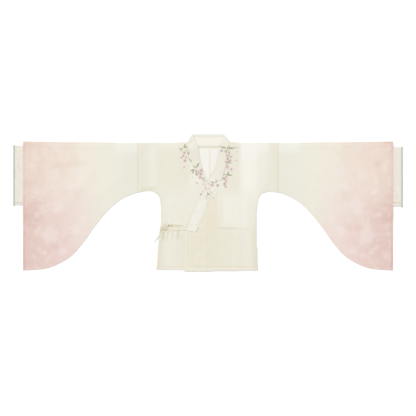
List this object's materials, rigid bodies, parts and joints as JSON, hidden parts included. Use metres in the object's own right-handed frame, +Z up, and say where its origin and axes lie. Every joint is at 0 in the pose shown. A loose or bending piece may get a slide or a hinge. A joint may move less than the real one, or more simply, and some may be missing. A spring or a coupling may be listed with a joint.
{
  "type": "crossed-collar hanfu jacket",
  "caption": "Crossed-collar hanfu upper garment with wide pipa sleeves, inner cuffs and a side tie, laid flat on its back; the skirt that would complete a set isn't part of it.",
  "frame": {"origin": "middle of the garment's outline, on the surface that it lies on", "axes": "+X to the wearer's left, along the sleeves; +Y to the neck; +Z up from the surface"},
  "size_m": [1.997, 0.7041, 0.0086],
  "materials": {
    "body_right": "sheer cream chiffon, matt",
    "body_left": "sheer cream chiffon, matt",
    "outer_lapel": "sheer cream chiffon, matt",
    "inner_lapel": "sheer cream chiffon, matt",
    "sleeve_right": "chiffon, cream shading to pink at the mouth",
    "sleeve_left": "chiffon, cream shading to pink at the mouth",
    "cuff_right": "fine striped cream cloth",
    "cuff_left": "fine striped cream cloth",
    "cuff_binding_right": "grey-green satin binding",
    "cuff_binding_left": "grey-green satin binding",
    "collar": "cream cloth strip with woven flowers",
    "waist_tie": "cream ribbon",
    "side_tie": "cream ribbon",
    "tie_knot": "cream ribbon",
    "bow_loop_left": "cream ribbon",
    "bow_loop_right": "cream ribbon",
    "tie_end": "cream ribbon",
    "tie_tail": "pale grey-green ribbon"
  },
  "bodies": {
    "root": {"body_right": "body_right", "body_left": "body_left", "outer_lapel": "outer_lapel", "inner_lapel": "inner_lapel", "sleeve_right": "sleeve_right", "sleeve_left": "sleeve_left", "cuff_right": "cuff_right", "cuff_left": "cuff_left", "cuff_binding_right": "cuff_binding_right", "cuff_binding_left": "cuff_binding_left", "collar": "collar", "waist_tie": "waist_tie", "side_tie": "side_tie", "tie_knot": "tie_knot", "bow_loop_left": "bow_loop_left", "bow_loop_right": "bow_loop_right", "tie_end": "tie_end", "tie_tail": "tie_tail"}
  },
  "joints": []
}
